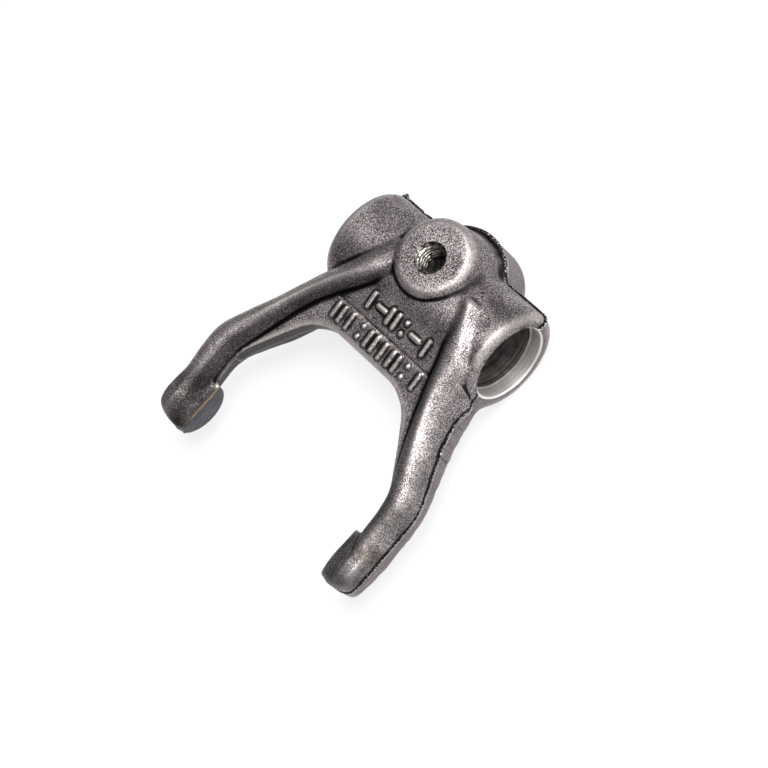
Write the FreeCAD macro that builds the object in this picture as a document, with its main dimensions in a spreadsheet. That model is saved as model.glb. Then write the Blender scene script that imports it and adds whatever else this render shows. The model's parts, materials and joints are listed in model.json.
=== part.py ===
import FreeCAD, Part
import math
import os
import Sketcher
from FreeCAD import Vector

# Clutch release fork, forged in steel as one piece and then machined.
# Origin: middle of the shaft bore. +X along the bore, -Y towards the arm tips,
# +Z out of the lock bolt boss. Below the web the two arms mirror each other; at the hub
# the far arm's ridge runs into the boss and the near arm's ridge passes beside it.

os.makedirs("parts", exist_ok=True)
doc = FreeCAD.newDocument("clutchFork")
tolerance = 0.01
smallestCut = 1.0             # mm3 that every cut has to remove at least

dimensions = {
    "hubLength": 55.2,
    "hubRadius": 14.2,
    "hubCorner": 2.0,
    "boreRadius": 10.0,
    "leadInRadius": 10.4,
    "leadInDepth": 3.9,
    "bossOffset": 6.5,        # boss axis, to the side of the bore axis away from the arms
    "bossHeight": 16.0,
    "bossFaceRadius": 9.8,
    "bossRootRadius": 14.0,
    "bossCorner": 1.6,
    "lumpOffset": 7.6,        # the lump behind the hub stands a little further back
    "lumpRadius": 14.3,
    "lumpBackRadius": 13.7,
    "lumpDepth": 14.2,
    "lumpCorner": 2.6,
    "partingHeight": 1.0,
    "lockDrillRadius": 3.4,   # tapping size of the M8 lock bolt
    "lockMouthRadius": 4.3,
    "lockOffset": 5.8,
    "ridgeCorner": 3.2,
    "backCorner": 2.2,
    "webHeight": 12.75,       # where the sloping front of the web would meet the bore axis
    "webTilt": 11.3,          # degrees
    "webThickness": 5.6,
    "webEdge": 23.4,
    "webHalfEdge": 14.7,
    "webCorner": 5.0,
    "flangeReach": 45.0,
    "flangeHalfSpan": 30.6,
    "webRoot": 2.0,
    "webRootNear": 18.0,
    "webRootFar": 10.0,
    "armHalfSpan": 33.0,
    "padHalfGap": 28.4,       # ground contact pads face each other across the gap
    "padRadius": 7.9,
    "footRadius": 8.4,
    "footOuterRadius": 6.0,
    "footBelly": 31.6,
    "footShoulder": 35.4,
    "footOuter": 38.2,
    "footReach": 61.4,
    "footHeight": 2.5,
    "footSlopeStart": 50.0,
    "footSlopeTop": 8.6,
    "footSlopeEnd": 72.0,
    "footSlopeLow": 3.2,
}

# Sections across an arm: reach from the bore axis, inner and outer flank, back and ridge.
nearHubSections = [
    ("nearRoot", -4.0, 11.8, 18.6, -2.0, 14.9),
    ("nearNeck", 4.0, 15.8, 23.6, -6.0, 14.7),
    ("nearShoulder", 11.0, 18.2, 26.2, -8.0, 13.4),
    ("nearUpper", 20.0, 20.8, 28.4, -7.2, 11.8),
]
farHubSections = [
    ("farRoot", 0.0, 5.6, 14.4, -2.0, 15.2),
    ("farNeck", 5.0, 7.8, 17.2, -6.0, 14.9),
    ("farShoulder", 11.0, 12.6, 23.0, -8.0, 13.6),
    ("farUpper", 20.0, 19.8, 28.2, -7.2, 11.8),
]
lowerSections = [
    ("middle", 30.0, 24.4, 32.6, -5.8, 10.5),
    ("knee", 40.0, 28.6, 37.3, -5.1, 9.5),
    ("shin", 46.5, 30.4, 38.8, -5.6, 8.5),
    ("ankle", 56.0, 30.6, 38.9, -7.0, 6.8),
    ("toe", 66.0, 30.6, 37.2, -6.8, 4.6),
]

sheet = doc.addObject("Spreadsheet::Sheet", "Dimensions")
cells = dict(dimensions)
for name, reach, inner, outer, back, ridge in nearHubSections + farHubSections + lowerSections:
    cells[name + "Reach"] = reach
    cells[name + "Inner"] = inner
    cells[name + "Outer"] = outer
    cells[name + "Back"] = back
    cells[name + "Ridge"] = ridge
for row, (alias, value) in enumerate(cells.items(), start=1):
    sheet.set("A%d" % row, alias)
    sheet.set("B%d" % row, str(value))
    sheet.setAlias("B%d" % row, alias)
doc.recompute()


def cell(alias):
    return float(sheet.get(alias))


body = doc.addObject("PartDesign::Body", "Fork")
body.Label = "clutch_fork"
planes = {plane.Role: plane for plane in body.Origin.OriginFeatures}


def newSketch(name, plane, offset=None):
    """offset: expressions for the sketch's shift in its own X, Y and Z."""
    sketch = body.newObject("Sketcher::SketchObject", name)
    sketch.AttachmentSupport = [(planes[plane], "")]
    sketch.MapMode = "FlatFace"
    for axis, expression in (offset or {}).items():
        sketch.setExpression(".AttachmentOffset.Base." + axis, expression)
    return sketch


def bind(sketch, kind, places, expression, value):
    """A dimension of the sketch whose size follows the sheet."""
    index = sketch.addConstraint(Sketcher.Constraint(kind, *places, value))
    sketch.setExpression("Constraints[%d]" % index, expression)


def roundedBox(sketch, left, right, low, high, lowCorner, highCorner):
    """Rounded rectangle; each side is an (expression, value) pair."""
    x0, x1, z0, z1 = left[1], right[1], low[1], high[1]
    rLow, rHigh = lowCorner[1], highCorner[1]
    up = Vector(0, 0, 1)
    quarter = math.pi / 2
    lines = [
        ((x0 + rLow, z0), (x1 - rLow, z0)),
        ((x1, z0 + rLow), (x1, z1 - rHigh)),
        ((x1 - rHigh, z1), (x0 + rHigh, z1)),
        ((x0, z1 - rHigh), (x0, z0 + rLow)),
    ]
    corners = [
        ((x1 - rLow, z0 + rLow), rLow, 3),
        ((x1 - rHigh, z1 - rHigh), rHigh, 0),
        ((x0 + rHigh, z1 - rHigh), rHigh, 1),
        ((x0 + rLow, z0 + rLow), rLow, 2),
    ]
    for start, end in lines:
        sketch.addGeometry(Part.LineSegment(Vector(*start, 0), Vector(*end, 0)))
    for centre, radius, turn in corners:
        circle = Part.Circle(Vector(*centre, 0), up, radius)
        sketch.addGeometry(Part.ArcOfCircle(circle, turn * quarter, (turn + 1) * quarter))
    for side in range(4):
        arc = 4 + side
        sketch.addConstraint(Sketcher.Constraint("Tangent", side, 2, arc, 1))
        sketch.addConstraint(Sketcher.Constraint("Tangent", arc, 2, (side + 1) % 4, 1))
    for side, kind in enumerate(("Horizontal", "Vertical", "Horizontal", "Vertical")):
        sketch.addConstraint(Sketcher.Constraint(kind, side))
    sketch.addConstraint(Sketcher.Constraint("Equal", 4, 7))
    sketch.addConstraint(Sketcher.Constraint("Equal", 5, 6))
    bind(sketch, "Radius", (4,), lowCorner[0], rLow)
    bind(sketch, "Radius", (5,), highCorner[0], rHigh)
    bind(sketch, "DistanceX", (-1, 1, 3, 1), left[0], x0)
    bind(sketch, "DistanceX", (-1, 1, 1, 1), right[0], x1)
    bind(sketch, "DistanceY", (-1, 1, 0, 1), low[0], z0)
    bind(sketch, "DistanceY", (-1, 1, 2, 1), high[0], z1)


def named(alias, sign=1):
    expression = "Dimensions." + alias if sign > 0 else "-Dimensions." + alias
    return expression, sign * cell(alias)


def circleSketch(name, plane, radius, offset=None):
    sketch = newSketch(name, plane, offset)
    sketch.addGeometry(Part.Circle(Vector(0, 0, 0), Vector(0, 0, 1), cell(radius)))
    sketch.addConstraint(Sketcher.Constraint("Coincident", 0, 3, -1, 1))
    bind(sketch, "Radius", (0,), "Dimensions." + radius, cell(radius))
    return sketch


def closedOutline(sketch, corners):
    """Polygon whose corners are ((expression, value), (expression, value)) pairs."""
    count = len(corners)
    for index in range(count):
        (_, x0), (_, y0) = corners[index]
        (_, x1), (_, y1) = corners[(index + 1) % count]
        sketch.addGeometry(Part.LineSegment(Vector(x0, y0, 0), Vector(x1, y1, 0)))
    for index in range(count):
        sketch.addConstraint(Sketcher.Constraint("Coincident", index, 2, (index + 1) % count, 1))
        (xText, x), (yText, y) = corners[index]
        bind(sketch, "DistanceX", (-1, 1, index, 1), xText, x)
        bind(sketch, "DistanceY", (-1, 1, index, 1), yText, y)


def checkCut(feature, before, name):
    doc.recompute()
    if feature.Shape.Volume > before - smallestCut:
        raise RuntimeError(name + " removes nothing")


# Hub: the round barrel that clamps on the release shaft.
hub = body.newObject("PartDesign::Pad", "Hub")
hub.Profile = circleSketch("HubCircle", "YZ_Plane", "hubRadius")
hub.Midplane = True
hub.setExpression("Length", "Dimensions.hubLength")
doc.recompute()
hubEdges = ["Edge%d" % (i + 1) for i, edge in enumerate(hub.Shape.Edges) if edge.Closed]
hubRound = body.newObject("PartDesign::Fillet", "HubRound")
hubRound.Base = (hub, hubEdges)
hubRound.setExpression("Radius", "Dimensions.hubCorner")
doc.recompute()


def addTurned(name, offset, outline):
    """Solid turned about an upright axis that stands at this offset from the bore axis."""
    profile = newSketch(name + "Profile", "YZ_Plane", {"x": "Dimensions." + offset})
    closedOutline(profile, outline)
    turned = body.newObject("PartDesign::Revolution", name)
    turned.Profile = profile
    turned.ReferenceAxis = (profile, ["V_Axis"])
    turned.Angle = 360
    doc.recompute()


def shifted(alias, sign, other, otherSign):
    """Sum of two signed cells, as an expression and its value."""
    text = "%s%sDimensions.%s" % (named(alias, sign)[0], " + " if otherSign > 0 else " - ", other)
    return text, sign * cell(alias) + otherSign * cell(other)


# Boss in front of the hub and the lump behind it.
zero = ("0", 0.0)
addTurned("Boss", "bossOffset", [
    (zero, zero),
    (named("bossRootRadius"), zero),
    (named("bossRootRadius"), named("partingHeight")),
    (named("bossFaceRadius"), shifted("bossHeight", 1, "bossCorner", -1)),
    (shifted("bossFaceRadius", 1, "bossCorner", -1), named("bossHeight")),
    (zero, named("bossHeight")),
])
addTurned("Lump", "lumpOffset", [
    (zero, named("lumpDepth", -1)),
    (shifted("lumpBackRadius", 1, "lumpCorner", -1), named("lumpDepth", -1)),
    (named("lumpBackRadius"), shifted("lumpDepth", -1, "lumpCorner", 1)),
    (named("lumpRadius"), named("partingHeight")),
    (zero, named("partingHeight")),
])


def addArm(name, sign, stations):
    """Loft through rounded sections, one per station; sign is the side of the plane X = 0."""
    sections = []
    for station, _, _, _, _, _ in stations:
        label = name + station[0].upper() + station[1:]
        section = newSketch(label, "XZ_Plane", {"z": "Dimensions.%sReach" % station})
        inner = named(station + "Inner", sign)
        outer = named(station + "Outer", sign)
        left, right = (inner, outer) if sign > 0 else (outer, inner)
        roundedBox(section, left, right, named(station + "Back"), named(station + "Ridge"),
                   named("backCorner"), named("ridgeCorner"))
        sections.append(section)
    doc.recompute()
    arm = body.newObject("PartDesign::AdditiveLoft", name)
    arm.Profile = sections[0]
    arm.Sections = sections[1:]
    arm.Ruled = False
    doc.recompute()
    return arm


addArm("NearArm", 1, nearHubSections + lowerSections)
addArm("FarArm", -1, farHubSections + lowerSections)

# Foot: a rounded block turned about a line along X, whose inner face is the contact pad.
foot = newSketch("FootProfile", "XZ_Plane", {"y": "Dimensions.footHeight", "z": "Dimensions.footReach"})
closedOutline(foot, [
    (named("padHalfGap"), zero),
    (named("padHalfGap"), named("padRadius", -1)),
    (named("footBelly"), named("footRadius", -1)),
    (named("footShoulder"), named("footRadius", -1)),
    (named("footOuter"), named("footOuterRadius", -1)),
    (named("footOuter"), zero),
])
footTurn = body.newObject("PartDesign::Revolution", "Foot")
footTurn.Profile = foot
footTurn.ReferenceAxis = (foot, ["H_Axis"])
footTurn.Angle = 360
doc.recompute()

mirror = body.newObject("PartDesign::Mirrored", "OtherFoot")
mirror.Originals = [footTurn]
mirror.MirrorPlane = (planes["YZ_Plane"], [""])
body.Tip = mirror
doc.recompute()

# The front of both feet falls away towards the tips.
before = mirror.Shape.Volume
slope = newSketch("FootSlopeOutline", "YZ_Plane")
closedOutline(slope, [
    (named("footSlopeStart", -1), named("footSlopeTop")),
    (named("footSlopeStart", -1), named("bossHeight")),
    (named("footSlopeEnd", -1), named("bossHeight")),
    (named("footSlopeEnd", -1), named("footSlopeLow")),
])
footSlope = body.newObject("PartDesign::Pocket", "FootSlope")
footSlope.Profile = slope
footSlope.Type = "ThroughAll"
footSlope.Midplane = True
checkCut(footSlope, before, "foot slope")

# Web: the sloping plate between the arms, running out along them as a tapering flange.
web = newSketch("WebOutline", "XY_Plane", {"z": "Dimensions.webHeight"})
tilt = FreeCAD.Rotation(Vector(1, 0, 0), cell("webTilt"))
web.AttachmentOffset = FreeCAD.Placement(Vector(0, 0, cell("webHeight")), tilt)
web.setExpression(".AttachmentOffset.Rotation.Angle", "Dimensions.webTilt * 1 deg")
nearSide = [
    (named("webRootNear"), named("webRoot", -1)),
    (named("armHalfSpan"), named("flangeReach", -1)),
    (named("flangeHalfSpan"), named("flangeReach", -1)),
    (named("webHalfEdge"), named("webEdge", -1)),
]
farSide = [
    (named("webHalfEdge", -1), named("webEdge", -1)),
    (named("flangeHalfSpan", -1), named("flangeReach", -1)),
    (named("armHalfSpan", -1), named("flangeReach", -1)),
    (named("webRootFar", -1), named("webRoot", -1)),
]
closedOutline(web, nearSide + farSide)
webPad = body.newObject("PartDesign::Pad", "Web")
webPad.Profile = web
webPad.Reversed = True
webPad.setExpression("Length", "Dimensions.webThickness")
doc.recompute()


def isWebCorner(edge):
    """A corner of the web's lower edge stands square to its sloping front."""
    ends = [web.Placement.inverse().multVec(vertex.Point) for vertex in edge.Vertexes]
    if len(ends) != 2:
        return False
    atEdge = all(abs(end.y + cell("webEdge")) < tolerance for end in ends)
    square = (ends[0] - ends[1]).cross(Vector(0, 0, 1)).Length < tolerance
    return atEdge and square


uprights = [
    "Edge%d" % (index + 1) for index, edge in enumerate(webPad.Shape.Edges) if isWebCorner(edge)
]
webRound = body.newObject("PartDesign::Fillet", "WebCorners")
webRound.Base = (webPad, uprights)
webRound.setExpression("Radius", "Dimensions.webCorner")
doc.recompute()

# Machining: bore, lead-in at each end, and the tapped lock bolt hole.
before = webRound.Shape.Volume
bore = body.newObject("PartDesign::Pocket", "ShaftBore")
bore.Profile = circleSketch("BoreCircle", "YZ_Plane", "boreRadius")
bore.Type = "ThroughAll"
bore.Midplane = True
checkCut(bore, before, "shaft bore")

last = bore
for name, shift in (("NearLeadIn", "Dimensions.hubLength / 2"),
                    ("FarLeadIn", "Dimensions.leadInDepth - Dimensions.hubLength / 2")):
    before = last.Shape.Volume
    leadIn = body.newObject("PartDesign::Pocket", name)
    leadIn.Profile = circleSketch(name + "Circle", "YZ_Plane", "leadInRadius", {"z": shift})
    leadIn.setExpression("Length", "Dimensions.leadInDepth")
    checkCut(leadIn, before, name)
    last = leadIn

before = last.Shape.Volume
lockHole = body.newObject("PartDesign::Pocket", "LockHole")
lockHole.Profile = circleSketch("LockCircle", "XY_Plane", "lockDrillRadius",
                                {"y": "Dimensions.lockOffset", "z": "Dimensions.bossHeight"})
lockHole.setExpression("Length", "Dimensions.bossHeight")
checkCut(lockHole, before, "lock hole")

mouthEdge = [
    "Edge%d" % (i + 1)
    for i, edge in enumerate(lockHole.Shape.Edges)
    if edge.Closed and abs(edge.BoundBox.ZMin - cell("bossHeight")) < tolerance
    and abs(edge.BoundBox.XLength - 2 * cell("lockDrillRadius")) < tolerance
]
before = lockHole.Shape.Volume
mouth = body.newObject("PartDesign::Chamfer", "LockMouth")
mouth.Base = (lockHole, mouthEdge)
mouth.setExpression("Size", "Dimensions.lockMouthRadius - Dimensions.lockDrillRadius")
doc.recompute()
body.Tip = mouth
doc.recompute()

for item in doc.Objects:
    if "Invalid" in item.State or "Error" in item.State:
        raise RuntimeError(item.Label + " did not build: " + str(item.State))
if body.Shape.isNull() or not body.Shape.isValid() or len(body.Shape.Solids) != 1:
    raise RuntimeError("clutch_fork is not one valid solid")
body.Shape.exportStep("parts/clutch_fork.step")
box = body.Shape.BoundBox
print("clutch_fork", round(body.Shape.Volume / 1000, 2), "cm3, box",
      [round(v, 2) for v in (box.XMin, box.XMax, box.YMin, box.YMax, box.ZMin, box.ZMax)])
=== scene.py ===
import json
import math
import bpy
import bmesh
import numpy as np
import openvdb
from mathutils import Matrix, Vector

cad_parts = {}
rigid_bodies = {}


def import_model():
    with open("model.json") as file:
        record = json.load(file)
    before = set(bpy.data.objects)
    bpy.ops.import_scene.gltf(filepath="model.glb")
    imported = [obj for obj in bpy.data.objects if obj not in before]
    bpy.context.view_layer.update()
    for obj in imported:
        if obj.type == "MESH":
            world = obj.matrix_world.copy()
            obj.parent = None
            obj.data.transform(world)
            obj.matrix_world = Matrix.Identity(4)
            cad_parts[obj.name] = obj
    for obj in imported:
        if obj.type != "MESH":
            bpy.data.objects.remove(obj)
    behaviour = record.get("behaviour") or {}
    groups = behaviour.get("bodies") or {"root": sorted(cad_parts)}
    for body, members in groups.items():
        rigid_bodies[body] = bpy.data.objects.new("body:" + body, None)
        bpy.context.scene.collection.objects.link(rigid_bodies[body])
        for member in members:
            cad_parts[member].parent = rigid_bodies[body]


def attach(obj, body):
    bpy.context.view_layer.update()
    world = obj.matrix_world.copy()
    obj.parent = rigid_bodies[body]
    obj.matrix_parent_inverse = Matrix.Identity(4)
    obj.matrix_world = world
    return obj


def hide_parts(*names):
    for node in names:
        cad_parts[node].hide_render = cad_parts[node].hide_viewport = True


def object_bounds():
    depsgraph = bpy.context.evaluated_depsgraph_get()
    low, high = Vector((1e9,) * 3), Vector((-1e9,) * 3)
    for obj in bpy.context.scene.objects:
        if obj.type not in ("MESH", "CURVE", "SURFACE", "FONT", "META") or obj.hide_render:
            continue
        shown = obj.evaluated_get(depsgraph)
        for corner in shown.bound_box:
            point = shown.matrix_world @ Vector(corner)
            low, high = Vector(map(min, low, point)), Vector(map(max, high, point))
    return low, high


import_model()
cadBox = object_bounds()
mm = 0.001

# Camera

cameraValues = {
    "placeMm": (248.28, -17.48, 434.58),
    "rightWay": (0.63830, 0.67624, -0.36780),
    "upWay": (-0.59544, 0.73654, 0.32087),
    "lensMm": 93.8,
    "sensorMm": 36.0,
    "farMetres": 20.0,
}


def makeCamera(v):
    data = bpy.data.cameras.new("viewCamera")
    data.lens = v["lensMm"]
    data.sensor_width = v["sensorMm"]
    data.clip_end = v["farMetres"]
    camera = bpy.data.objects.new("viewCamera", data)
    right = Vector(v["rightWay"]).normalized()
    up = Vector(v["upWay"])
    up = (up - up.dot(right) * right).normalized()
    back = right.cross(up)
    turn = Matrix((right, up, back)).transposed().to_4x4()
    camera.matrix_world = Matrix.Translation(Vector(v["placeMm"]) * mm) @ turn
    bpy.context.collection.objects.link(camera)
    bpy.context.scene.camera = camera


makeCamera(cameraValues)
print("camera placed")

# Forged body as a distance field, in millimetres


def smoothMin(a, b, k):
    h = np.clip(0.5 + 0.5 * (b - a) / k, 0.0, 1.0)
    return b + (a - b) * h - k * h * (1.0 - h)


def smoothMax(a, b, k):
    return -smoothMin(-a, -b, k)


def roundedSlab(dx, dz, corner):  # rounded rectangle from the distances past its sides
    ox = np.maximum(dx + corner, 0.0)
    oz = np.maximum(dz + corner, 0.0)
    return np.hypot(ox, oz) + np.minimum(np.maximum(dx, dz) + corner, 0.0) - corner


def smoothAlong(values, reach):  # station values made into a smooth curve over reach
    fine = np.arange(-30.0, 90.0, 0.25)
    curve = np.interp(fine, armValues["reach"], values)
    kernel = np.hanning(21)
    curve = np.convolve(np.pad(curve, 10, mode="edge"), kernel / kernel.sum(), mode="valid")
    return np.interp(reach, fine, curve)


def wander(along, lengthMm, seed):  # gentle seeded noise of about -1 to 1 along a line
    marks = np.random.default_rng(seed).uniform(-1.0, 1.0, int(400 / lengthMm))
    place = (np.asarray(along) + 200.0) / lengthMm
    low = np.floor(place).astype(int)
    part = place - low
    part = part * part * (3 - 2 * part)
    return marks[low] * (1 - part) + marks[low + 1] * part


def lumps(x, y, z, lengthMm, seed):  # gentle seeded noise of about -1 to 1 in space
    marks = np.random.default_rng(seed).uniform(-1.0, 1.0, (64, 64, 64)).astype(np.float32)
    total = 0.0
    cells, parts = [], []
    for axis in (x, y, z):
        place = (axis + 100.0) / lengthMm
        low = np.floor(place).astype(int)
        part = (place - low).astype(np.float32)
        cells.append(low)
        parts.append(part * part * (3 - 2 * part))
    for i in (0, 1):
        for j in (0, 1):
            for k in (0, 1):
                weight = 1.0
                for part, side in zip(parts, (i, j, k)):
                    weight = weight * (part if side else 1 - part)
                total = total + weight * marks[(cells[0] + i) % 64, (cells[1] + j) % 64, (cells[2] + k) % 64]
    return total


hubValues = {"halfLength": 27.4, "radius": 14.05, "corner": 1.6, "parting": 1.0}


def hubField(x, y, z, v):
    return roundedSlab(np.abs(x) - v["halfLength"], np.hypot(y, z) - v["radius"], v["corner"])


bossValues = {
    "offset": 6.5, "height": 15.9, "faceRadius": 10.35, "rootRadius": 12.7, "corner": 1.8,
    "lumpRadius": 13.3, "lumpBackRadius": 14.1, "lumpOffset": 7.45, "depth": 14.05, "lumpCorner": 2.2,
    "partingRound": 0.2,
}


def bossField(x, y, z, v):
    radial = np.hypot(x, y - v["offset"])
    slope = (v["rootRadius"] - v["faceRadius"]) / (v["height"] - hubValues["parting"])
    radius = v["faceRadius"] + slope * (v["height"] - z)
    front = roundedSlab((radial - radius) * math.cos(math.atan(slope)), z - v["height"], v["corner"])
    return smoothMax(front, hubValues["parting"] - z, v["partingRound"])


def lumpField(x, y, z, v):
    radial = np.hypot(x, y - v["lumpOffset"])
    slope = (v["lumpRadius"] - v["lumpBackRadius"]) / (v["depth"] + hubValues["parting"])
    radius = v["lumpRadius"] + slope * (z - hubValues["parting"])
    back = roundedSlab(radial - radius, -v["depth"] - z, v["lumpCorner"])
    return smoothMax(back, z - hubValues["parting"], v["partingRound"])


# along the arms: reach from the bore axis, then where each surface stands there
armValues = {
    "reach":      [-4.0, 0.0, 4.0, 8.0, 11.0, 14.0, 20.0, 26.0, 32.0, 40.0, 43.5, 48.0, 56.0, 62.0, 70.0],
    "outerDraft": [0.6, 0.6, 0.5, 0.4, 0.32, 0.26, 0.16, 0.1, 0.08, 0.05, 0.03, 0.02, 0.02, 0.04, 0.08],
    "outerPart":  [1.0, 1.0, 1.2, 1.5, 1.8, 2.0, 2.4, 2.8, 3.0, 2.6, 2.4, 2.0, 1.2, 0.6, 0.0],
    "backOut":    [14.0, 18.0, 21.0, 24.2, 25.7, 26.9, 28.7, 30.8, 33.6, 37.0, 37.9, 38.2, 38.2, 38.0, 37.4],
    "backIn":     [9.0, 11.0, 13.0, 15.0, 16.2, 17.4, 19.2, 20.9, 23.5, 28.7, 30.9, 32.2, 32.2, 31.8, 31.6],
    "back":       [-8.0, -8.0, -8.0, -8.5, -8.5, -8.4, -7.8, -6.8, -5.9, -5.4, -5.5, -6.0, -7.3, -7.6, -7.0],
    "flangeIn":   [-9.0, -6.0, -4.0, -1.0, 2.0, 6.0, 12.8, 18.5, 22.7, 27.9, 29.9, 31.6, 32.0, 32.0, 32.0],
}
nearArm = {  # its ridge passes beside the boss
    "ridgeIn":  [11.8, 14.2, 15.9, 17.3, 18.2, 19.0, 20.7, 22.8, 25.3, 29.0, 30.6, 31.2, 31.2, 30.8, 30.4],
    "ridgeOut": [18.8, 21.8, 24.0, 25.6, 25.9, 26.0, 27.0, 29.6, 32.9, 37.1, 38.0, 38.2, 38.0, 37.2, 36.0],
    "ridgeTop": [14.7, 15.1, 15.0, 14.5, 13.9, 13.3, 12.2, 11.2, 10.4, 9.4, 9.0, 8.3, 7.0, 5.8, 4.2],
}
farArm = {  # its ridge runs into the boss
    "ridgeIn":  [3.4, 4.8, 7.2, 10.2, 12.8, 15.6, 20.2, 23.4, 25.9, 29.2, 30.6, 31.0, 31.0, 30.7, 30.4],
    "ridgeOut": [11.8, 13.8, 15.9, 18.0, 20.0, 22.2, 25.9, 29.3, 32.8, 37.2, 38.2, 38.4, 38.2, 37.4, 36.2],
    "ridgeTop": [15.2, 15.4, 15.2, 14.7, 14.2, 13.6, 12.4, 11.4, 10.7, 9.9, 9.6, 8.9, 7.4, 6.0, 4.2],
}
armShape = {
    "ridgeRound": 3.6, "ridgeLean": 0.12, "ridgeUnder": 1.5, "innerDraft": 0.2, "backDraft": 0.1,
    "backRound": 2.4, "webEdge": 22.8, "webThickness": 5.6, "webCorner": 5.6, "webRound": 1.5,
    "webHeight": 8.2, "webSlope": 0.18, "webCurve": 0.0045, "hubSide": 26.7, "hubSideReach": 12.0,
    "hubSideSpread": 0.8, "flangeEnd": 46.0, "seamWander": 0.4,
    "hubSideRound": 0.8, "innerStart": 3.0, "sideRound": 1.0, "partRound": 0.5, "webTopRound": 0.3,
    "webRootRound": 0.5, "flangeRound": 1.0, "partRagged": 0.5, "backRagged": 0.35,
    "seamWaves": [(1.0, 2.1, 11), (0.6, 0.7, 13)],  # share, length in mm and seed
}


def webFront(y):  # height of the web's upper face
    s = armShape
    rise = y + s["webEdge"]
    return s["webHeight"] + s["webSlope"] * rise + s["webCurve"] * np.maximum(rise, 0.0) ** 2


def armFields(x, y, z, side):
    reach = -y
    stations = {**armValues, **(farArm if side else nearArm)}
    at = {name: smoothAlong(values, reach) for name, values in stations.items() if name != "reach"}
    at["webFront"] = webFront(y)
    s = armShape
    line = np.arange(-30.0, 90.0, 0.5)
    slope = np.gradient(smoothAlong(stations["ridgeOut"], line), 0.5)
    lean = np.cos(np.arctan(np.interp(reach, line, slope)))
    middle = 0.5 * (at["ridgeIn"] + at["ridgeOut"])
    half = 0.5 * (at["ridgeOut"] - at["ridgeIn"])
    fall = at["ridgeTop"] - z
    draft = np.where(x > middle, at["outerDraft"], s["ridgeLean"]) * np.maximum(fall, 0.0)
    ridge = roundedSlab((np.abs(x - middle) - half - draft) * lean, -fall, s["ridgeRound"])
    waves = [share * wander(reach, lengthMm, seed + side) for share, lengthMm, seed in s["seamWaves"]]
    ragged = s["seamWander"] * sum(waves)
    across = np.clip((x - at["ridgeIn"]) / np.maximum(at["ridgeOut"] - at["ridgeIn"], 1.0), 0.0, 1.0)
    partZ = at["webFront"] + (at["outerPart"] - at["webFront"]) * across + s["partRagged"] * ragged * across
    ridge = np.maximum(ridge, partZ - s["ridgeUnder"] - z)
    spread = s["hubSideSpread"] * np.maximum(reach - s["hubSideReach"], 0.0)
    ridge = smoothMax(ridge, x - s["hubSide"] - spread, s["hubSideRound"])
    depth = np.maximum(partZ - z, 0.0)
    outer = (x - at["backOut"] - s["backRagged"] * ragged + s["backDraft"] * depth) * lean
    inner = (at["backIn"] - x + s["innerDraft"] * np.maximum(depth - s["innerStart"], 0.0)) * lean
    sides = smoothMax(outer, inner, s["sideRound"])
    backBody = smoothMax(sides, at["back"] - z, s["backRound"])
    backBody = smoothMax(backBody, z - partZ, s["partRound"])
    plan = smoothMin(reach - s["webEdge"], (at["flangeIn"] - x) * lean, s["webCorner"])
    plate = smoothMax(plan, z - at["webFront"], s["webTopRound"])
    plate = smoothMax(plate, at["webFront"] - s["webThickness"] - z, s["webRound"])
    plate = smoothMax(plate, x - middle, s["webRootRound"])
    plate = smoothMax(plate, reach - s["flangeEnd"], s["flangeRound"])
    return ridge, backBody, plate, partZ, np.clip(x - middle, 0.0, 1.0)


footValues = {
    "reach": 61.5, "height": 2.5, "radius": 8.0, "outer": 38.0, "corner": 4.6, "pad": 28.4, "tip": 69.6,
    "tipSlant": 0.16, "start": (55.0, 53.5), "padAllowance": 0.4, "padRound": 0.6, "startRound": 0.8,
    "frontRound": 1.6, "valleyFade": 0.6,
    "padTop": 3.0, "frontSlope": 0.6, "frontTop": 6.6, "tipFall": 0.035, "valleyRadius": 1.25,
    "valleys": [((30.6, 54.2, 6.2), (33.6, 60.6, 7.0)), ((28.6, 53.4, 4.6), (31.6, 61.2, 6.6))],
}


def footField(x, y, z, v, side):
    reach = -y
    radial = np.hypot(reach - v["reach"], z - v["height"])
    block = roundedSlab(x - v["outer"], radial - v["radius"], v["corner"])
    block = smoothMax(block, v["pad"] - v["padAllowance"] - x, v["padRound"])
    block = smoothMax(block, v["start"][side] - reach, v["startRound"])
    front = np.minimum(v["padTop"] + v["frontSlope"] * (x - v["pad"]), v["frontTop"])
    front = front - v["tipFall"] * np.maximum(reach - v["reach"], 0.0) ** 2
    block = smoothMax(block, z - front, v["frontRound"])
    ends = [np.array(end) for end in v["valleys"][side]]
    way = ends[1] - ends[0]
    off = [place - start for place, start in zip((x, reach, z), ends[0])]
    along = (off[0] * way[0] + off[1] * way[1] + off[2] * way[2]) / way.dot(way)
    along = np.clip(along, 0.0, 1.0)
    off = [distance - along * step for distance, step in zip(off, way)]
    radius = v["valleyRadius"] * (1.0 - v["valleyFade"] * along)
    valley = np.sqrt(off[0] ** 2 + off[1] ** 2 + off[2] ** 2) - radius
    return block, valley


seamValues = {  # parting line, with the flash left along it
    "flash": 0.25, "hubFlash": 0.6, "flashDrop": 0.2, "flashHalf": 0.4, "flashRound": 0.15,
    "nub": 0.8, "nubPlace": 26.4, "nubWidth": 0.7, "wander": 0.25, "wanderLength": 1.3, "wanderSlant": 1.3,
    "seed": 17, "armStart": 8.0, "armSpan": 8.0, "barrelY": (6.0, 3.0), "barrelX": (12.0, 2.0),
    "lineRise": 0.35, "innerOff": 3.0,
}


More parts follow.
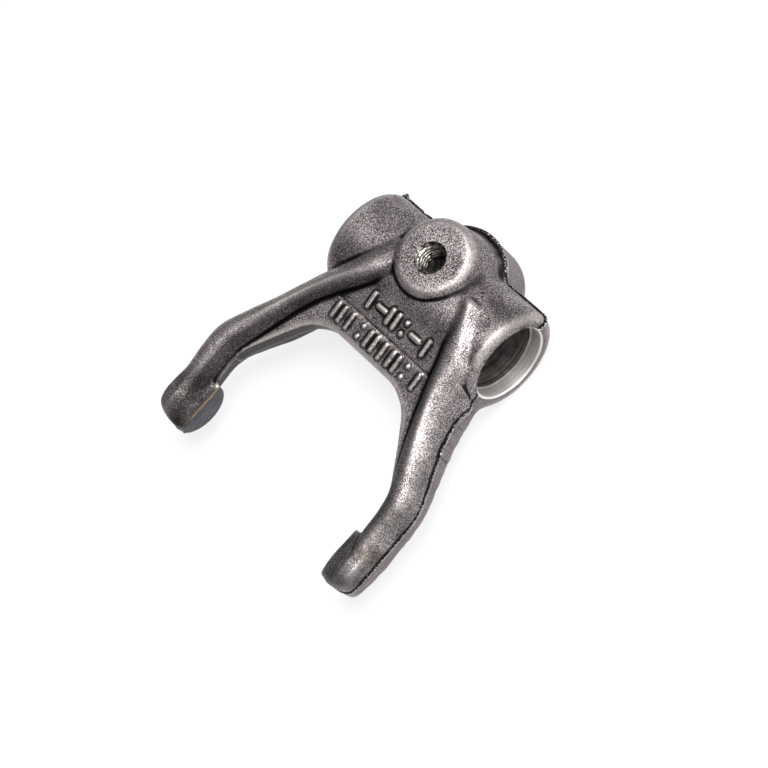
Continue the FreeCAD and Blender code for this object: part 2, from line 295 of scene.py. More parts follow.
def addSeam(x, y, z, side, field, partZ, outside):  # also where the seam lies and how far off it is
    v = seamValues
    blend = np.clip((-y - v["armStart"]) / v["armSpan"], 0.0, 1.0)
    ragged = v["wander"] * wander(x * v["wanderSlant"] + y, v["wanderLength"], v["seed"] + side)
    seam = (hubValues["parting"] + ragged) * (1.0 - blend) + partZ * blend
    barrel = [np.clip((place - low) / span, 0.0, 1.0) for place, (low, span) in
              ((y, v["barrelY"]), (x, v["barrelX"]))]
    barrel = barrel[0] * barrel[1]
    reach = v["flash"] + (v["hubFlash"] - v["flash"]) * barrel
    reach = reach + side * barrel * v["nub"] * np.exp(-((x - v["nubPlace"]) / v["nubWidth"]) ** 2)
    flash = np.maximum(field - reach, np.abs(z - seam + v["flashDrop"]) - v["flashHalf"])
    offSeam = np.abs(z - seam - v["lineRise"]) + v["innerOff"] * (1.0 - outside) * blend
    return smoothMin(field, flash, v["flashRound"]), seam, offSeam


unionValues = {  # roundings where the forms meet, and where some of them end
    "ridgeRoot": 0.7, "foot": 1.2, "boss": 2.2, "bossEdge": 0.3, "bossGrowth": 0.1, "bossLeast": 0.2,
    "crease": 0.3, "creaseDepth": 2.5, "underside": 3.0, "valley": 0.5, "tip": 1.8, "bodyCut": 1.0,
    "bodyEnd": 2.0, "ridgeEnd": 5.0, "ridgeCut": 2.0,
}


def sideField(x, y, z, side):
    u = unionValues
    hub = hubField(x, y, z, hubValues)
    boss = bossField(x, y, z, bossValues)
    lump = lumpField(x, y, z, bossValues)
    ridge, backBody, plate, partZ, outside = armFields(x, y, z, side)
    foot, valley = footField(x, y, z, footValues, side)
    bossBlend = u["boss"] * np.clip(u["bossEdge"] + u["bossGrowth"] * y, u["bossLeast"], 1.0)
    core = smoothMin(smoothMin(hub, boss, bossBlend), lump, u["boss"])
    core = smoothMax(core, -bossValues["depth"] - z, u["bodyCut"])
    plate = smoothMax(plate, y + u["bodyEnd"], u["bodyCut"])
    ridge = smoothMax(ridge, y - u["ridgeEnd"], u["ridgeCut"])
    backBody = smoothMax(backBody, y + u["bodyEnd"], u["bodyCut"])
    body = np.minimum(plate, backBody)
    field = smoothMin(core, body, np.where(z > webFront(y) - u["creaseDepth"], u["crease"], u["underside"]))
    field = smoothMin(field, ridge, u["ridgeRoot"])
    field = smoothMin(field, foot, u["foot"])
    field = smoothMax(field, -valley, u["valley"])
    tip = -y - footValues["tip"] + footValues["tipSlant"] * (x - footValues["pad"])
    return addSeam(x, y, z, side, smoothMax(field, tip, u["tip"]), partZ, outside)


# two rows of raised marks on the web, each row with its place across the web
markRows = [
    {"reach": 11.2, "first": -7.2, "pitch": 4.1, "kinds": "bar dash twin pips dash bar"},
    {"reach": 18.9, "first": -13.0, "pitch": 4.2, "kinds": "twin bar pips twin bar twin pips bar"},
]
markValues = {
    "tallMm": 5.2, "strokeMm": 1.05, "raisedMm": 0.6, "draft": 0.35, "rootMm": 2.0, "rootRound": 0.1,
}
markKinds = {  # strokes as ends in parts of the mark's height, across and along
    "bar": [(0.0, -0.36, 0.0, 0.36)],
    "dash": [(-0.26, 0.0, 0.26, 0.0)],
    "twin": [(-0.22, -0.34, -0.22, 0.34), (0.22, -0.34, 0.22, 0.34)],
    "pips": [(0.0, -0.3, 0.0, -0.28), (0.0, 0.28, 0.0, 0.3)],
}


def markField(x, y, z):
    v = markValues
    plan = np.full(x.shape, 9.0, dtype=np.float32)
    for row in markRows:
        for place, kind in enumerate(row["kinds"].split()):
            for u0, v0, u1, v1 in markKinds[kind]:
                ends = np.array([[u0, v0], [u1, v1]]) * v["tallMm"]
                ends += (row["first"] + place * row["pitch"], -row["reach"])
                way = ends[1] - ends[0]
                along = ((x - ends[0][0]) * way[0] + (y - ends[0][1]) * way[1]) / max(way.dot(way), 1e-6)
                along = np.clip(along, 0.0, 1.0)
                away = np.hypot(x - ends[0][0] - along * way[0], y - ends[0][1] - along * way[1])
                plan = np.minimum(plan, away - 0.5 * v["strokeMm"])
    top = z - webFront(y) - v["raisedMm"]
    return smoothMax(np.maximum(plan + v["draft"] * top, top), webFront(y) - v["rootMm"] - z, v["rootRound"])


gridValues = {
    "stepMm": 0.35, "reachX": 40.2, "lowY": -71.6, "highY": 24.0, "lowZ": -16.2, "highZ": 18.0,
    "farMm": 3.0, "markBlend": 0.25, "mostTriangles": 170000,
    "lumps": [(0.04, 5.0, 3), (0.025, 1.7, 4)],  # height and length in mm, and seed
    "hollowCells": {"fold": 1, "hollow": 4},  # how near and how wide hollowness is measured
}


def forgedField(v):
    h = v["stepMm"]
    xs = np.arange(0.0, v["reachX"], h, dtype=np.float32)
    ys = np.arange(v["lowY"], v["highY"], h, dtype=np.float32)
    zs = np.arange(v["lowZ"], v["highZ"], h, dtype=np.float32)
    x, y, z = np.meshgrid(xs, ys, zs, indexing="ij")
    sides = zip(sideField(x, y, z, 0), sideField(x, y, z, 1))
    full, seam, offSeam = [np.concatenate([far[:0:-1], near], axis=0) for near, far in sides]
    xs = np.concatenate([-xs[:0:-1], xs])
    x, y, z = np.meshgrid(xs, ys, zs, indexing="ij")
    for height, lengthMm, seed in v["lumps"]:
        full = full + height * lumps(x, y, z, lengthMm, seed)
    full = smoothMin(full, markField(x, y, z), v["markBlend"])
    return full, z - seam, offSeam, (xs[0], ys[0], zs[0])


def meshFromField(name, field, origin, v):
    grid = openvdb.FloatGrid()
    grid.background = v["farMm"]
    grid.copyFromArray(np.clip(field, -v["farMm"], v["farMm"]).astype(np.float32))
    points, triangles, quads = grid.convertToPolygons(isovalue=0.0, adaptivity=0.0)
    points = (np.asarray(points) * v["stepMm"] + np.array(origin)) * mm
    faces = [tuple(int(i) for i in q) for q in quads] + [tuple(int(i) for i in t) for t in triangles]
    mesh = bpy.data.meshes.new(name)
    mesh.from_pydata(points.tolist(), [], faces)
    mesh.update()
    work = bmesh.new()
    work.from_mesh(mesh)
    bmesh.ops.recalc_face_normals(work, faces=work.faces)
    work.to_mesh(mesh)
    work.free()
    return mesh


def thinOut(target, most):  # fewer triangles on the forged skin, the machined faces as they are
    mesh = target.data
    count = sum(len(p.vertices) - 2 for p in mesh.polygons)
    machined = {v for p in mesh.polygons if p.material_index for v in p.vertices}
    group = target.vertex_groups.new(name="forgedSkin")
    group.add([v.index for v in mesh.vertices if v.index not in machined], 1.0, "REPLACE")
    thin = target.modifiers.new("thin", "DECIMATE")
    thin.ratio = min(most / count, 1.0)
    thin.vertex_group = "forgedSkin"
    graph = bpy.context.evaluated_depsgraph_get()
    result = bpy.data.meshes.new_from_object(target.evaluated_get(graph))
    target.modifiers.clear()
    target.vertex_groups.clear()
    target.data = result


def boxBlur(values, cells):  # mean over a box of this many cells to each side
    for axis in range(3):
        margins = [(cells + 1, cells) if a == axis else (0, 0) for a in range(3)]
        total = np.cumsum(np.pad(values, margins, mode="edge"), axis=axis, dtype=np.float64)
        size = values.shape[axis]
        high = np.take(total, np.arange(2 * cells + 1, 2 * cells + 1 + size), axis=axis)
        low = np.take(total, np.arange(size), axis=axis)
        values = ((high - low) / (2 * cells + 1)).astype(np.float32)
    return values


def sampleAt(values, points, origin, h):  # grid values read between their cells
    place = (points - np.array(origin)) / h
    place = np.clip(place, 0.0, np.array(values.shape) - 1.001)
    low = place.astype(int)
    part = place - low
    total = np.zeros(len(points))
    for i in (0, 1):
        for j in (0, 1):
            for k in (0, 1):
                sides = [part[:, n] if side else 1 - part[:, n] for n, side in enumerate((i, j, k))]
                weight = np.prod(sides, axis=0)
                total += weight * values[low[:, 0] + i, low[:, 1] + j, low[:, 2] + k]
    return total


def addObject(name, mesh):
    item = bpy.data.objects.new(name, mesh)
    bpy.context.collection.objects.link(item)
    return item


field, overSeam, offSeam, origin = forgedField(gridValues)
fork = addObject("forgedFork", meshFromField("forgedFork", field, origin, gridValues))
print("forged body:", len(fork.data.vertices), "points,", len(fork.data.polygons), "faces")

# Machined surfaces, each cut with its own cutter

machiningValues = {
    "boreRadius": 10.0, "leadInRadius": 10.4, "leadInDepth": 3.9, "leadInRise": 0.3, "edgeBreak": 0.4,
    "boreSegments": 192, "overrun": 1.5,
    "threadMinor": 3.33, "threadMajor": 4.02, "pitch": 1.25, "threadMouth": 4.35, "lockOffset": 5.8,
    "threadFoot": 1.0, "threadTop": 1.0, "threadSegments": 64, "stepsPerPitch": 12,
    "flankSteepness": 2.4, "padReach": 14.0, "padStart": 4.5, "padHeight": 12.0,
    "sharpDegrees": 38,
}


def skinRings(work, rings, name):  # closed mesh through rings of points
    for low, high in zip(rings, rings[1:]):
        for i in range(len(low)):
            j = (i + 1) % len(low)
            work.faces.new((low[i], low[j], high[j], high[i]))
    work.faces.new(rings[0][::-1])
    work.faces.new(rings[-1])
    bmesh.ops.recalc_face_normals(work, faces=work.faces)
    mesh = bpy.data.meshes.new(name)
    work.to_mesh(mesh)
    work.free()
    return mesh


def boreCutter(v):  # bore with a lead-in at each end, turned about X
    end = hubValues["halfLength"]
    step = end - v["leadInDepth"]
    mouth = v["leadInRadius"] + v["edgeBreak"]
    side = [
        (step, v["boreRadius"]),
        (step + v["leadInRise"], v["leadInRadius"]),
        (end - v["edgeBreak"], v["leadInRadius"]),
        (end, mouth),
        (end + v["overrun"], mouth + v["overrun"]),
    ]
    profile = [(-along, radius) for along, radius in side[::-1]] + side
    work = bmesh.new()
    rings = []
    for along, radius in profile:
        ring = []
        for i in range(v["boreSegments"]):
            a = 2 * math.pi * i / v["boreSegments"]
            ring.append(work.verts.new((along * mm, radius * math.cos(a) * mm, radius * math.sin(a) * mm)))
        rings.append(ring)
    return skinRings(work, rings, "boreCutter")


def threadCutter(v):  # M8 thread as a true helix, with a countersunk mouth
    top = bossValues["height"] + v["threadTop"]
    rows = int((top - v["threadFoot"]) / v["pitch"] * v["stepsPerPitch"])
    work = bmesh.new()
    rings = []
    for row in range(rows + 1):
        level = v["threadFoot"] + row * v["pitch"] / v["stepsPerPitch"]
        mouth = v["threadMouth"] - (bossValues["height"] - level)
        ring = []
        for i in range(v["threadSegments"]):
            turn = i / v["threadSegments"]
            phase = (level / v["pitch"] - turn) % 1.0
            flank = v["flankSteepness"] * (0.5 - abs(phase - 0.5) * 2.0) + 0.5
            rise = min(max(flank, 0.0), 1.0)
            radius = max(v["threadMinor"] + (v["threadMajor"] - v["threadMinor"]) * rise, mouth)
            a = 2 * math.pi * turn
            place = (radius * math.cos(a) * mm, (v["lockOffset"] + radius * math.sin(a)) * mm, level * mm)
            ring.append(work.verts.new(place))
        rings.append(ring)
    return skinRings(work, rings, "threadCutter")


def padCutter(v):  # the gap between the two ground pads
    pad = footValues["pad"]
    reach = footValues["reach"]
    low = Vector((-pad, -reach - v["padReach"], -v["padHeight"])) * mm
    high = Vector((pad, -reach + v["padReach"] - v["padStart"], v["padHeight"])) * mm
    work = bmesh.new()
    bmesh.ops.create_cube(work, size=1.0)
    for vert in work.verts:
        vert.co = Vector([low[i] if vert.co[i] < 0 else high[i] for i in range(3)])
    mesh = bpy.data.meshes.new("padCutter")
    work.to_mesh(mesh)
    work.free()
    return mesh


def cutAway(target, mesh, material):
    mesh.materials.clear()
    mesh.materials.append(material)
    tool = addObject(mesh.name, mesh)
    cut = target.modifiers.new("cut", "BOOLEAN")
    cut.operation = "DIFFERENCE"
    cut.solver = "EXACT"
    cut.material_mode = "TRANSFER"
    cut.object = tool
    graph = bpy.context.evaluated_depsgraph_get()
    result = bpy.data.meshes.new_from_object(target.evaluated_get(graph))
    target.modifiers.clear()
    target.data = result
    bpy.data.objects.remove(tool)


materials = {name: bpy.data.materials.new(name) for name in
             ("shotBlastedForgedSteel", "turnedBoreSteel", "tappedThreadSteel", "groundPadSteel")}
fork.data.materials.append(materials["shotBlastedForgedSteel"])
cutAway(fork, boreCutter(machiningValues), materials["turnedBoreSteel"])
cutAway(fork, threadCutter(machiningValues), materials["tappedThreadSteel"])
cutAway(fork, padCutter(machiningValues), materials["groundPadSteel"])
thinOut(fork, gridValues["mostTriangles"])
for polygon in fork.data.polygons:
    polygon.use_smooth = True
fork.data.set_sharp_from_angle(angle=math.radians(machiningValues["sharpDegrees"]))
print("machined:", len(fork.data.polygons), "faces", [m.name for m in fork.data.materials])

# Measures of the surface, which the forged skin's finish and its painted shade and highlights follow


def measureSurface(target, v):
    h = v["stepMm"]
    inside = np.clip(0.5 - field / h, 0.0, 1.0).astype(np.float32)
    measures = {"overSeam": overSeam, "offSeam": offSeam}
    for name, cells in v["hollowCells"].items():
        measures[name] = boxBlur(boxBlur(inside, cells), cells)
    points = np.empty(len(target.data.vertices) * 3)
    target.data.vertices.foreach_get("co", points)
    points = points.reshape(-1, 3) / mm
    for name, values in measures.items():
        layer = target.data.attributes.new(name, "FLOAT", "POINT")
        layer.data.foreach_set("value", sampleAt(values, points, origin, h).astype(np.float32))


measureSurface(fork, gridValues)
print("surface measured:", [layer.name for layer in fork.data.attributes if layer.data_type == "FLOAT"])

# Materials


def linear(hexColour):  # sRGB hex colour as linear values
    parts = [int(hexColour[i:i + 2], 16) / 255 for i in (1, 3, 5)]
    return [c / 12.92 if c <= 0.04045 else ((c + 0.055) / 1.055) ** 2.4 for c in parts] + [1.0]


# adds a node with its settings, links and ramp stops; returns its output, or the node where out is None
def addNode(tree, kind, inputs=None, out=0, stops=None, **settings):
    node = tree.nodes.new(kind)
    for name, value in settings.items():
        setattr(node, name, value)
    for place, value in (inputs or {}).items():
        if isinstance(value, bpy.types.NodeSocket):
            tree.links.new(value, node.inputs[place])
        else:
            node.inputs[place].default_value = value
    for number, (place, colour) in enumerate(stops or []):
        band = node.color_ramp.elements
        element = band[number] if number < 2 else band.new(place)
        element.position = place
        element.color = linear(colour)
    return node if out is None else node.outputs[out]


def startMaterial(name):
    material = materials[name]
    material.use_nodes = True
    tree = material.node_tree
    tree.nodes.clear()
    return tree


def perMm(size):  # texture scale for a pattern of this size in millimetres
    return 1.0 / (size * mm)


def layOver(tree, colour, layers):  # tints laid over a colour, each with its share
    for share, tint in layers:
        mix = {0: share, 6: colour, 7: linear(tint)}
        colour = addNode(tree, "ShaderNodeMix", mix, data_type="RGBA", out=2)
    return colour


forgedSteel = {
    # the dark scale and crease colours paint shade in hollows, folds, inner flanks and along the flash step;
    # the rim colour and the bright colour paint highlights on edges and crests, besides the bright grain
    "pitColour": "#0F0C0B", "steelColour": "#7C7375", "brightColour": "#D8D0CF", "paintedShadeColour": "#141110",
    "creaseShadeColour": "#030202", "rimHighlightColour": "#D6CEC9",
    "grainMm": 0.34, "patchMm": 6.0, "patchShare": 0.2, "bumpMm": 0.07,  # one pit, one paler patch
    "pit": 0.49, "steelLow": 0.56, "steelHigh": 0.65, "bright": 0.73, "smoothLevel": 0.6,
    "foldRagged": 0.12, "seamRagged": 1.6, "metallic": 0.9, "bumpStrength": 0.8,
    "roughFrom": 0.5, "roughTo": 0.7, "roughPits": 0.6, "roughGrain": 0.42,  # over the grain's level
    "spotWander": 0.8, "spotStart": 1.4, "spotFull": 0.6,  # in parts of a spot's radius
    "spans": {  # where each effect starts, where it is full, and its share there
        "smooth": (-0.3, -1.3, 0.5),  # mm over the parting line: finer below it
        "crestHighlight": (0.47, 0.38, 0.34),  # wide hollowness: painted highlight on the crests
        "flank": (-0.25, -0.6, 0.74),  # facing outward: painted shade on the arms' inner flanks
        "edgeHighlight": (0.465, 0.37, 0.6),  # near hollowness: painted highlight along the edges
        "shade": (0.54, 0.6, 0.9),  # wide hollowness: painted shade in the hollows
        "flash": (1.3, 1.06, 0.94),  # ragged mm off the trimmed flash: painted shadow, black along the flash step
        "crease": (0.578, 0.605, 0.95),  # ragged near hollowness: painted shade, black in the folds
    },
    "stainsAndPaintedLight": [  # place in mm, radius, share, colour: a darker patch on the hub by its collar, painted shade and a painted highlight on the near ridge, painted shade along the valley by the collar, and scale and heat tint at the feet
        ((24.5, 6.5, 12.5), 8.0, 0.34, "#1A1614"),
        # painted shade down the near ridge's lower length
        ((35.8, -37.0, 10.0), 8.5, 0.42, "#1A1614"),
        ((37.5, -47.0, 8.5), 8.0, 0.34, "#1A1614"),
        # painted highlight on the near ridge's upper crest
        ((32.0, -18.0, 11.5), 7.0, 0.3, "#D8D0CB"),
        # painted shade along the valley between the near ridge and the hub's collar
        ((19.5, 7.9, 11.8), 2.2, 0.4, "#141110"),
        ((22.5, 2.7, 13.9), 2.2, 0.45, "#141110"),
        ((25.3, -2.6, 14.0), 2.2, 0.5, "#141110"),
        ((28.1, -8.0, 11.7), 2.2, 0.5, "#141110"),
        ((36.6, -64.4, 4.5), 5.5, 0.72, "#121A26"),
        ((37.0, -57.5, 5.5), 4.4, 0.55, "#3E341C"),
        ((33.0, -68.6, 1.5), 4.6, 0.88, "#110E0B"),
        ((-35.5, -61.5, 3.5), 10.0, 0.56, "#1C1511"),
        ((-31.0, -68.0, 2.0), 3.4, 0.75, "#1E1612"),
        ((-32.5, -56.0, 5.0), 3.2, 0.7, "#100C0A"),
    ],
}


def makeForgedSteel(v):  # shot-blasted skin: fine bright grain and dark pits, with painted shade in the folds, hollows and inner flanks and painted highlights on crests and edges
    tree = startMaterial("shotBlastedForgedSteel")
    where = addNode(tree, "ShaderNodeTexCoord", out="Object")
    fold, hollow, overLine, offLine = [
        addNode(tree, "ShaderNodeAttribute", attribute_name=name, out="Fac")
        for name in ("fold", "hollow", "overSeam", "offSeam")
    ]
    grain = {"Vector": where, "Scale": perMm(v["grainMm"]), "Detail": 2.5, "Roughness": 0.62}
    grain = addNode(tree, "ShaderNodeTexNoise", grain)
    patch = {"Vector": where, "Scale": perMm(v["patchMm"]), "Detail": 2.0}
    patch = addNode(tree, "ShaderNodeTexNoise", patch)
    level = addNode(tree, "ShaderNodeMath", {0: patch, 1: v["patchShare"], 2: grain},
                    operation="MULTIPLY_ADD")
    ragged = addNode(tree, "ShaderNodeMath", {0: grain, 1: v["foldRagged"], 2: fold},
                     operation="MULTIPLY_ADD")
    torn = addNode(tree, "ShaderNodeMath", {0: grain, 1: v["seamRagged"], 2: offLine},
                   operation="MULTIPLY_ADD")
    facing = addNode(tree, "ShaderNodeNewGeometry", out="Normal")
    facing = addNode(tree, "ShaderNodeSeparateXYZ", {"Vector": facing}, out="X")
    side = addNode(tree, "ShaderNodeSeparateXYZ", {"Vector": where}, out="X")
    side = addNode(tree, "ShaderNodeMath", {0: side}, operation="SIGN")
    outward = addNode(tree, "ShaderNodeMath", {0: facing, 1: side}, operation="MULTIPLY")
    measures = {
        "smooth": overLine, "crestHighlight": hollow, "flank": outward, "edgeHighlight": fold, "shade": hollow, "flash": torn,
        "crease": ragged,
    }
    share = {}
    for name, measure in measures.items():
        start, full, most = v["spans"][name]
        span = {"Value": measure, "From Min": start, "From Max": full, "To Max": most}
        share[name] = addNode(tree, "ShaderNodeMapRange", span)
    level = addNode(tree, "ShaderNodeMix", {0: share["smooth"], 2: level, 3: v["smoothLevel"]})
    colour = addNode(tree, "ShaderNodeValToRGB", {"Fac": level}, stops=[
        (v["pit"], v["pitColour"]), (v["steelLow"], v["steelColour"]),
        (v["steelHigh"], v["steelColour"]), (v["bright"], v["brightColour"]),
    ])
    rough = {"Value": level, "From Min": v["roughFrom"], "From Max": v["roughTo"],
             "To Min": v["roughPits"], "To Max": v["roughGrain"]}
    rough = addNode(tree, "ShaderNodeMapRange", rough)
    # painted highlight on crests and edges, painted shade on inner flanks and in hollows
    layers = [
        (share["crestHighlight"], v["brightColour"]),
        (share["flank"], v["paintedShadeColour"]),
        (share["edgeHighlight"], v["rimHighlightColour"]),
        (share["shade"], v["paintedShadeColour"]),
    ]
    # each spot lays scale or heat tint, or a painted shade or highlight, as listed above
    for place, radius, most, stain in v["stainsAndPaintedLight"]:
        middle = [c * mm for c in place]
        reach = radius * mm
        away = addNode(tree, "ShaderNodeVectorMath", {0: where, 1: middle}, operation="DISTANCE", out="Value")
        away = addNode(tree, "ShaderNodeMath", {0: patch, 1: reach * v["spotWander"], 2: away},
                       operation="MULTIPLY_ADD")
        spot = {"Value": away, "From Min": reach * v["spotStart"], "From Max": reach * v["spotFull"],
                "To Max": most}
        layers.append((addNode(tree, "ShaderNodeMapRange", spot), stain))
    # painted shadow along the flash step and painted shade in the folds
    layers += [(share["flash"], v["creaseShadeColour"]), (share["crease"], v["creaseShadeColour"])]
    colour = layOver(tree, colour, layers)
    bump = {"Height": level, "Strength": v["bumpStrength"], "Distance": v["bumpMm"] * mm}
    bump = addNode(tree, "ShaderNodeBump", bump)
    shader = {"Base Color": colour, "Metallic": v["metallic"], "Roughness": rough, "Normal": bump}
    shader = addNode(tree, "ShaderNodeBsdfPrincipled", shader)
    addNode(tree, "ShaderNodeOutputMaterial", {"Surface": shader}, out=None)


boreSteel = {
    "darkColour": "#7C7672", "brightColour": "#E6E2DE", "mouthLightColour": "#F2EFEC", "oilAndShadeColour": "#141110",
    "ringMm": 0.5, "stainMm": 3.0, "stainShare": 0.35, "bumpMm": 0.04,  # rings drawn coarse enough to show
    # where the painted shade inside the bore starts and is full, and the share of painted light at the mouths
    "boreShadeStart": 24.1, "boreShadeFull": 23.7, "boreShadeShare": 0.5, "mouthLightShare": 0.7,
    "metallic": 0.75, "roughness": 0.4, "bumpStrength": 0.8, "ringStretch": 0.03,
}


def makeBoreSteel(v):  # turned finish: fine bright rings, with painted light towards the mouths and painted shade deeper inside
    tree = startMaterial("turnedBoreSteel")
    where = addNode(tree, "ShaderNodeTexCoord", out="Object")
    squeezed = addNode(tree, "ShaderNodeMapping", {"Vector": where,
                                                   "Scale": (1.0, v["ringStretch"], v["ringStretch"])})
    rings = {"Vector": squeezed, "Scale": perMm(v["ringMm"]), "Detail": 3.0}
    rings = addNode(tree, "ShaderNodeTexNoise", rings)
    stain = {"Vector": where, "Scale": perMm(v["stainMm"]), "Detail": 2.0}
    stain = addNode(tree, "ShaderNodeTexNoise", stain)
    level = addNode(tree, "ShaderNodeMix", {0: v["stainShare"], 2: rings, 3: stain})
    colour = addNode(tree, "ShaderNodeValToRGB", {"Fac": level},
                     stops=[(0.4, v["darkColour"]), (0.6, v["brightColour"])])
    along = addNode(tree, "ShaderNodeSeparateXYZ", {"Vector": where}, out="X")
    along = addNode(tree, "ShaderNodeMath", {0: along}, operation="ABSOLUTE")
    # painted shade deeper in the bore, painted light towards its mouths
    boreShade = addNode(tree, "ShaderNodeMapRange", {"Value": along, "From Min": v["boreShadeStart"] * mm,
                                               "From Max": v["boreShadeFull"] * mm, "To Max": v["boreShadeShare"]})
    mouth = addNode(tree, "ShaderNodeMapRange", {"Value": boreShade, "From Min": v["boreShadeShare"], "From Max": 0.0,
                                                 "To Max": v["mouthLightShare"]})
    colour = layOver(tree, colour, [(boreShade, v["oilAndShadeColour"]), (mouth, v["mouthLightColour"])])
    bump = {"Height": rings, "Strength": v["bumpStrength"], "Distance": v["bumpMm"] * mm}
    bump = addNode(tree, "ShaderNodeBump", bump)
    shader = {"Base Color": colour, "Metallic": v["metallic"], "Roughness": v["roughness"], "Normal": bump}
    shader = addNode(tree, "ShaderNodeBsdfPrincipled", shader)
    addNode(tree, "ShaderNodeOutputMaterial", {"Surface": shader}, out=None)


threadSteel = {
    "oilAndShadeColour": "#2B2724", "cutColour": "#A8A29C", "darkColour": "#060505", "grainMm": 0.8,
    "darkStart": 12.5, "darkFull": 8.5, "darkShare": 0.96, "metallic": 1.0, "roughness": 0.34,
}


def makeThreadSteel(v):  # tapped flanks: bright where cut, oil in the roots, painted shade darkening them towards the bore
    tree = startMaterial("tappedThreadSteel")
    where = addNode(tree, "ShaderNodeTexCoord", out="Object")
    grain = {"Vector": where, "Scale": perMm(v["grainMm"]), "Detail": 2.0}
    grain = addNode(tree, "ShaderNodeTexNoise", grain)
    colour = addNode(tree, "ShaderNodeValToRGB", {"Fac": grain},
                     stops=[(0.4, v["oilAndShadeColour"]), (0.6, v["cutColour"])])
    height = addNode(tree, "ShaderNodeSeparateXYZ", {"Vector": where}, out="Z")
    # painted shade, darker deeper down the hole towards the bore
    holeShade = addNode(tree, "ShaderNodeMapRange", {"Value": height, "From Min": v["darkStart"] * mm,
                                                "From Max": v["darkFull"] * mm, "To Max": v["darkShare"]})
    colour = layOver(tree, colour, [(holeShade, v["darkColour"])])
    shader = {"Base Color": colour, "Metallic": v["metallic"], "Roughness": v["roughness"]}
    shader = addNode(tree, "ShaderNodeBsdfPrincipled", shader)
    addNode(tree, "ShaderNodeOutputMaterial", {"Surface": shader}, out=None)


groundPad = {
    "steelColour": "#66666B", "darkColour": "#48494D", "strawColour": "#9A8468", "purpleColour": "#43333A",
    "streakMm": 0.25, "cloudMm": 2.0, "bumpMm": 0.02,  # grit scratches drawn coarse enough to show
    "tintEdge": 2.1, "tintWander": 1.4, "strawWidth": 0.4, "strawShare": 0.75,
    "purpleWidth": 0.4, "purpleCore": 0.1, "purpleShare": 0.6,
    "metallic": 1.0, "roughness": 0.4, "bumpStrength": 0.5, "streakStretch": 0.12,
}


def makeGroundPad(v):  # ground flat: streaks along the foot, straw and purple heat tint by its front edge
    tree = startMaterial("groundPadSteel")
    where = addNode(tree, "ShaderNodeTexCoord", out="Object")
    along = addNode(tree, "ShaderNodeMapping", {"Vector": where, "Scale": (1.0, v["streakStretch"], 1.0)})
    streak = {"Vector": along, "Scale": perMm(v["streakMm"]), "Detail": 3.0}
    streak = addNode(tree, "ShaderNodeTexNoise", streak)
    cloud = {"Vector": where, "Scale": perMm(v["cloudMm"]), "Detail": 2.0}
    cloud = addNode(tree, "ShaderNodeTexNoise", cloud)
    height = addNode(tree, "ShaderNodeSeparateXYZ", {"Vector": where}, out="Z")
    height = addNode(tree, "ShaderNodeMath", {0: cloud, 1: v["tintWander"] * mm, 2: height},
                     operation="MULTIPLY_ADD")
    straw = {"Value": height, "From Min": v["tintEdge"] * mm,
             "From Max": (v["tintEdge"] + v["strawWidth"]) * mm, "To Max": v["strawShare"]}
    straw = addNode(tree, "ShaderNodeMapRange", straw)
    off = addNode(tree, "ShaderNodeMath", {0: height, 1: v["tintEdge"] * mm}, operation="SUBTRACT")
    off = addNode(tree, "ShaderNodeMath", {0: off}, operation="ABSOLUTE")
    purple = {"Value": off, "From Min": v["purpleWidth"] * mm, "From Max": v["purpleCore"] * mm,
              "To Max": v["purpleShare"]}
    purple = addNode(tree, "ShaderNodeMapRange", purple)
    colour = addNode(tree, "ShaderNodeValToRGB", {"Fac": streak},
                     stops=[(0.38, v["darkColour"]), (0.62, v["steelColour"])])
    colour = layOver(tree, colour, [(straw, v["strawColour"]), (purple, v["purpleColour"])])
    bump = {"Height": streak, "Strength": v["bumpStrength"], "Distance": v["bumpMm"] * mm}
    bump = addNode(tree, "ShaderNodeBump", bump)
    shader = {"Base Color": colour, "Metallic": v["metallic"], "Roughness": v["roughness"], "Normal": bump}
    shader = addNode(tree, "ShaderNodeBsdfPrincipled", shader)
    addNode(tree, "ShaderNodeOutputMaterial", {"Surface": shader}, out=None)


makeForgedSteel(forgedSteel)
makeBoreSteel(boreSteel)
makeThreadSteel(threadSteel)
makeGroundPad(groundPad)
print("materials made")

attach(fork, "root")
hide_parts("clutch_fork")

# Floor and light

stageValues = {
    "floorSpan": 6.0, "floorColour": "#F4F4F4", "whiteShare": 0.8, "roomStrength": 1.0,
    "paleSide": (0.75, 0.5, 0.43), "roomStops": [(0.3, "#3A3A3A"), (0.55, "#7C7C7C"), (0.85, "#EAEAEA")],
    "aim": (0.0, -0.02, 0.0),
    "lamps": [  # name, place and size in metres, watts
        ("overheadSoftbox", (0.08, 0.12, 0.6), 0.40, 5.5),
        ("sideSoftbox", (0.6, 0.25, 0.3), 0.42, 1.2),
    ],
}


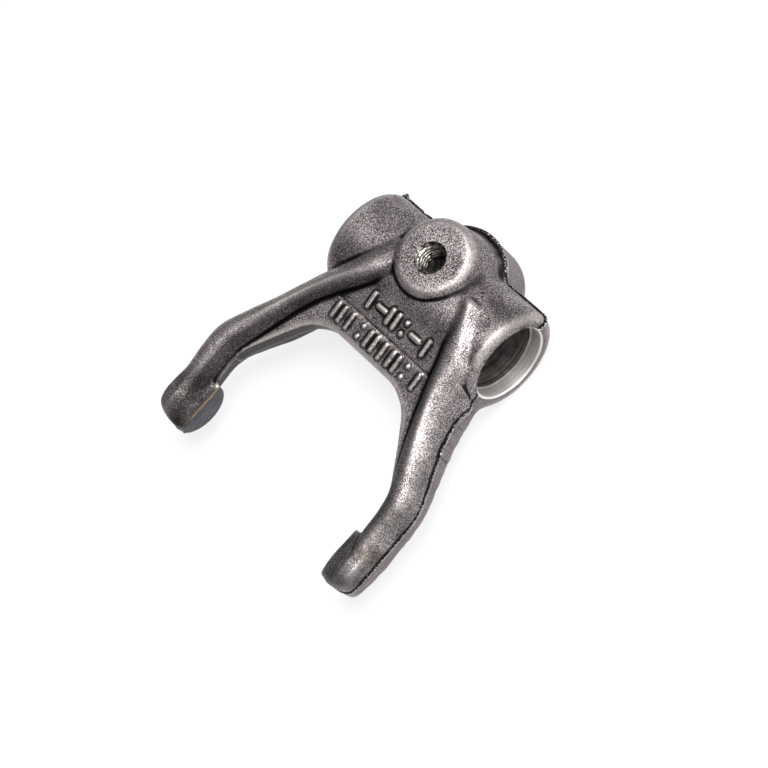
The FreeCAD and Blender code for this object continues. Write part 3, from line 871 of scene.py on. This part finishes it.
def whiteForCamera(tree, lit, share):  # the lit surface, with its share of plain white where the camera looks
    glow = addNode(tree, "ShaderNodeEmission", {"Color": [1, 1, 1, 1], "Strength": 1.0})
    path = addNode(tree, "ShaderNodeLightPath", out=None).outputs
    seen = addNode(tree, "ShaderNodeMath", {0: path["Is Camera Ray"], 1: share}, operation="MULTIPLY")
    mirrored = addNode(tree, "ShaderNodeMath", {0: path["Is Glossy Ray"], 1: path["Is Transmission Ray"]},
                       operation="MAXIMUM")
    white = addNode(tree, "ShaderNodeMath", {0: seen, 1: mirrored}, operation="MAXIMUM")
    return addNode(tree, "ShaderNodeMixShader", {0: white, 1: lit, 2: glow})


def makeFloor(v):
    work = bmesh.new()
    bmesh.ops.create_grid(work, x_segments=1, y_segments=1, size=v["floorSpan"] / 2)
    mesh = bpy.data.meshes.new("floor")
    work.to_mesh(mesh)
    work.free()
    floor = addObject("floor", mesh)
    floor.location.z = cadBox[0].z
    material = bpy.data.materials.new("paleFloor")
    material.use_nodes = True
    tree = material.node_tree
    tree.nodes.clear()
    matte = addNode(tree, "ShaderNodeBsdfDiffuse", {"Color": linear(v["floorColour"])})
    surface = whiteForCamera(tree, matte, v["whiteShare"])
    addNode(tree, "ShaderNodeOutputMaterial", {"Surface": surface}, out=None)
    mesh.materials.append(material)


def makeWorld(v):  # a plain room, paler to the right and behind
    world = bpy.data.worlds.new("paleRoom")
    world.use_nodes = True
    tree = world.node_tree
    tree.nodes.clear()
    way = addNode(tree, "ShaderNodeTexCoord", out="Generated")
    side = addNode(tree, "ShaderNodeVectorMath", {0: way, 1: v["paleSide"]},
                   operation="DOT_PRODUCT", out="Value")
    level = addNode(tree, "ShaderNodeMath", {0: side, 1: 0.5, 2: 0.5}, operation="MULTIPLY_ADD")
    room = addNode(tree, "ShaderNodeValToRGB", {"Fac": level}, stops=v["roomStops"])
    room = addNode(tree, "ShaderNodeBackground", {"Color": room, "Strength": v["roomStrength"]})
    addNode(tree, "ShaderNodeOutputWorld", {"Surface": room}, out=None)
    bpy.context.scene.world = world


def makeLamp(name, place, size, watts, aim):
    data = bpy.data.lights.new(name, "AREA")
    data.shape = "DISK"
    data.size = size
    data.energy = watts
    lamp = bpy.data.objects.new(name, data)
    lamp.location = place
    way = Vector(aim) - Vector(place)
    lamp.rotation_euler = way.to_track_quat("-Z", "Y").to_euler()
    bpy.context.collection.objects.link(lamp)


makeFloor(stageValues)
makeWorld(stageValues)
for name, place, size, watts in stageValues["lamps"]:
    makeLamp(name, place, size, watts, stageValues["aim"])
bpy.context.scene.view_settings.view_transform = "Standard"
print("floor, room and lamps set")
